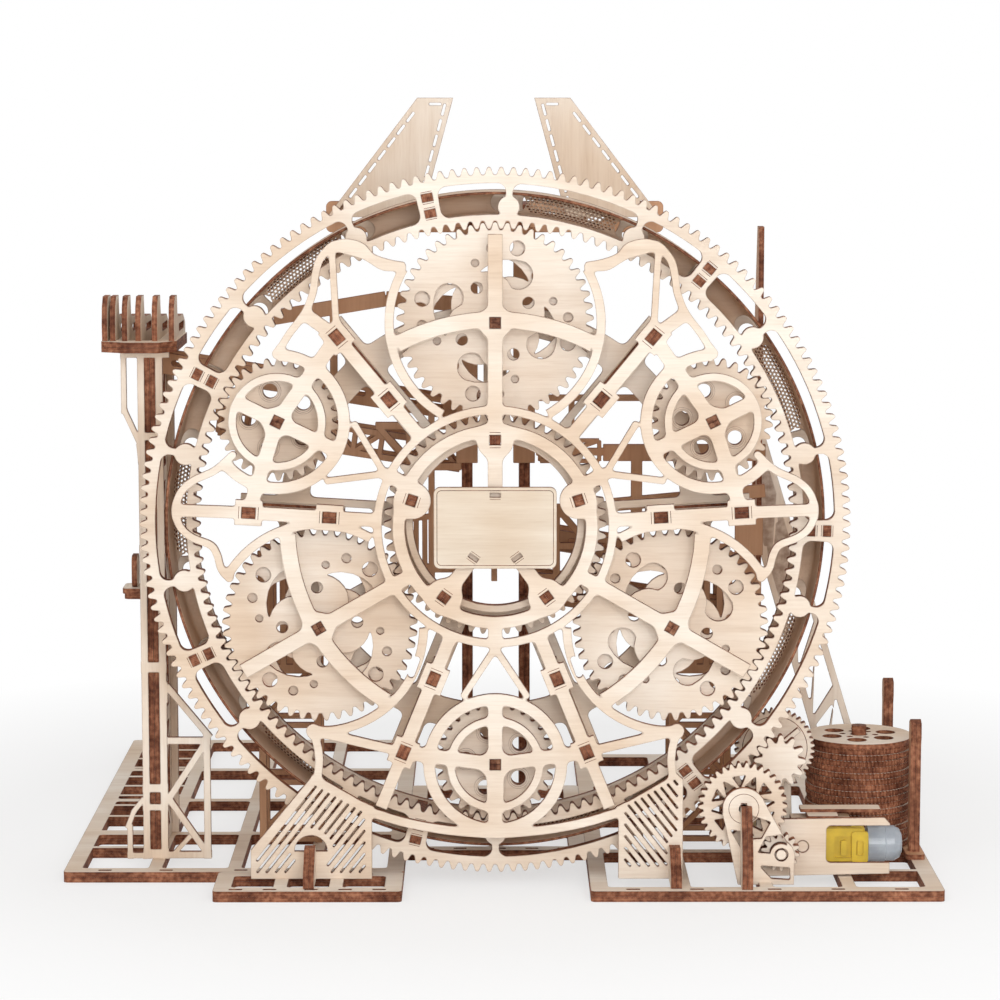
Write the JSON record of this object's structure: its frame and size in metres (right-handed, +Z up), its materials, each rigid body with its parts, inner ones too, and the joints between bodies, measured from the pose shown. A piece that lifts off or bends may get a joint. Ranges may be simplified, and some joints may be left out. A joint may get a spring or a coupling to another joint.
{
  "type": "marble run ferris wheel toy",
  "caption": "Tabletop plywood marble run: an upright toothed ring wheel with planet gears in an open spider frame, driven by a small gear motor, with side towers and fins.",
  "frame": {"origin": "middle of the footprint, on the table", "axes": "+X to the viewer's right along the wheel's width, +Y away from the viewer along the wheel's axle, +Z up"},
  "size_m": [0.457, 0.39, 0.408],
  "materials": {
    "birch_ply": "satin",
    "burnt_edge_ply": "matte",
    "gutter_card": "matte",
    "yellow_plastic": "satin",
    "clear_plastic": "gloss"
  },
  "bodies": {
    "frame": {"front_frame": "birch_ply", "rear_frame": "birch_ply", "frame_web_1": "burnt_edge_ply", "frame_web_2": "burnt_edge_ply", "frame_web_3": "burnt_edge_ply", "frame_web_4": "burnt_edge_ply", "frame_web_5": "burnt_edge_ply", "frame_web_6": "burnt_edge_ply", "sun_bearing": "burnt_edge_ply", "nameplate": "birch_ply", "planet_axle_top": "burnt_edge_ply", "planet_axle_left": "burnt_edge_ply", "planet_axle_right": "burnt_edge_ply", "small_axle_right": "burnt_edge_ply", "small_axle_left": "burnt_edge_ply", "small_axle_bottom": "burnt_edge_ply", "base_left": "birch_ply", "base_right": "birch_ply", "base_front_left": "birch_ply", "base_middle": "birch_ply", "foot_gusset_left": "burnt_edge_ply", "foot_gusset_right": "burnt_edge_ply", "left_tower": "birch_ply", "catch_basket": "burnt_edge_ply", "lift_tower": "burnt_edge_ply", "fin_left": "birch_ply", "fin_right": "birch_ply", "right_post": "burnt_edge_ply", "right_truss": "birch_ply", "low_posts": "birch_ply", "upper_track": "burnt_edge_ply", "lower_track": "burnt_edge_ply", "drive_bracket": "birch_ply", "motor_plate": "birch_ply", "motor_gearbox": "yellow_plastic", "motor_cap": "clear_plastic", "motor_clamp": "birch_ply", "takeoff_bracket": "birch_ply", "drum_spindle": "birch_ply"},
    "wheel": {"ring_front": "birch_ply", "ring_rear": "birch_ply", "gutter_1": "gutter_card", "gutter_2": "gutter_card", "gutter_3": "gutter_card", "gutter_4": "gutter_card", "gutter_5": "gutter_card", "gutter_6": "gutter_card", "gutter_7": "gutter_card"},
    "planet_top": {"planet_gear_top": "birch_ply"},
    "planet_left": {"planet_gear_left": "birch_ply"},
    "planet_right": {"planet_gear_right": "birch_ply"},
    "small_right": {"small_gear_right": "birch_ply"},
    "small_left": {"small_gear_left": "birch_ply"},
    "small_bottom": {"small_gear_bottom": "birch_ply"},
    "sun": {"sun_gear": "birch_ply"},
    "drive": {"drive_gear": "birch_ply"},
    "pinion": {"motor_pinion": "birch_ply"},
    "takeoff": {"takeoff_wheel": "birch_ply"},
    "drum": {"drum": "burnt_edge_ply"}
  },
  "joints": [
    {"name": "wheel_spin", "type": "hinge", "parent": "frame", "child": "wheel", "pos_m": [-0.002, -0.1532, 0.19], "axis": [0, 1, 0], "continuous": true},
    {"name": "planet_top_spin", "type": "hinge", "parent": "frame", "child": "planet_top", "pos_m": [-0.002, -0.1532, 0.295], "axis": [0, 1, 0], "continuous": true},
    {"name": "planet_left_spin", "type": "hinge", "parent": "frame", "child": "planet_left", "pos_m": [-0.09293, -0.1532, 0.1375], "axis": [0, 1, 0], "continuous": true},
    {"name": "planet_right_spin", "type": "hinge", "parent": "frame", "child": "planet_right", "pos_m": [0.08893, -0.1532, 0.1375], "axis": [0, 1, 0], "continuous": true},
    {"name": "small_right_spin", "type": "hinge", "parent": "frame", "child": "small_right", "pos_m": [0.10945, -0.1532, 0.24436], "axis": [0, 1, 0], "continuous": true},
    {"name": "small_left_spin", "type": "hinge", "parent": "frame", "child": "small_left", "pos_m": [-0.11345, -0.1532, 0.24436], "axis": [0, 1, 0], "continuous": true},
    {"name": "small_bottom_spin", "type": "hinge", "parent": "frame", "child": "small_bottom", "pos_m": [-0.002, -0.1532, 0.066], "axis": [0, 1, 0], "continuous": true},
    {"name": "sun_spin", "type": "hinge", "parent": "frame", "child": "sun", "pos_m": [-0.002, -0.1532, 0.19], "axis": [0, 1, 0], "continuous": true},
    {"name": "drive_spin", "type": "hinge", "parent": "frame", "child": "drive", "pos_m": [0.12629, -0.1682, 0.04448], "axis": [0, 1, 0], "continuous": true},
    {"name": "pinion_spin", "type": "hinge", "parent": "frame", "child": "pinion", "pos_m": [0.14593, -0.1682, 0.02023], "axis": [0, 1, 0], "continuous": true},
    {"name": "takeoff_spin", "type": "hinge", "parent": "frame", "child": "takeoff", "pos_m": [0.14661, -0.1532, 0.0653], "axis": [0, 1, 0], "continuous": true},
    {"name": "drum_spin", "type": "hinge", "parent": "frame", "child": "drum", "pos_m": [0.1946, -0.093, 0.038], "axis": [0, 0, 1], "continuous": true}
  ],
  "couplings": [
    {"joint": "planet_top_spin", "follows": "wheel_spin", "ratio": 3.1429},
    {"joint": "planet_left_spin", "follows": "wheel_spin", "ratio": 3.1429},
    {"joint": "planet_right_spin", "follows": "wheel_spin", "ratio": 3.1429},
    {"joint": "small_right_spin", "follows": "wheel_spin", "ratio": 5.1333},
    {"joint": "small_left_spin", "follows": "wheel_spin", "ratio": 5.1333},
    {"joint": "small_bottom_spin", "follows": "wheel_spin", "ratio": 5.1333},
    {"joint": "sun_spin", "follows": "wheel_spin", "ratio": -2.75},
    {"joint": "drive_spin", "follows": "wheel_spin", "ratio": -15.167},
    {"joint": "pinion_spin", "follows": "wheel_spin", "ratio": 36.833},
    {"joint": "takeoff_spin", "follows": "wheel_spin", "ratio": -15.167}
  ]
}
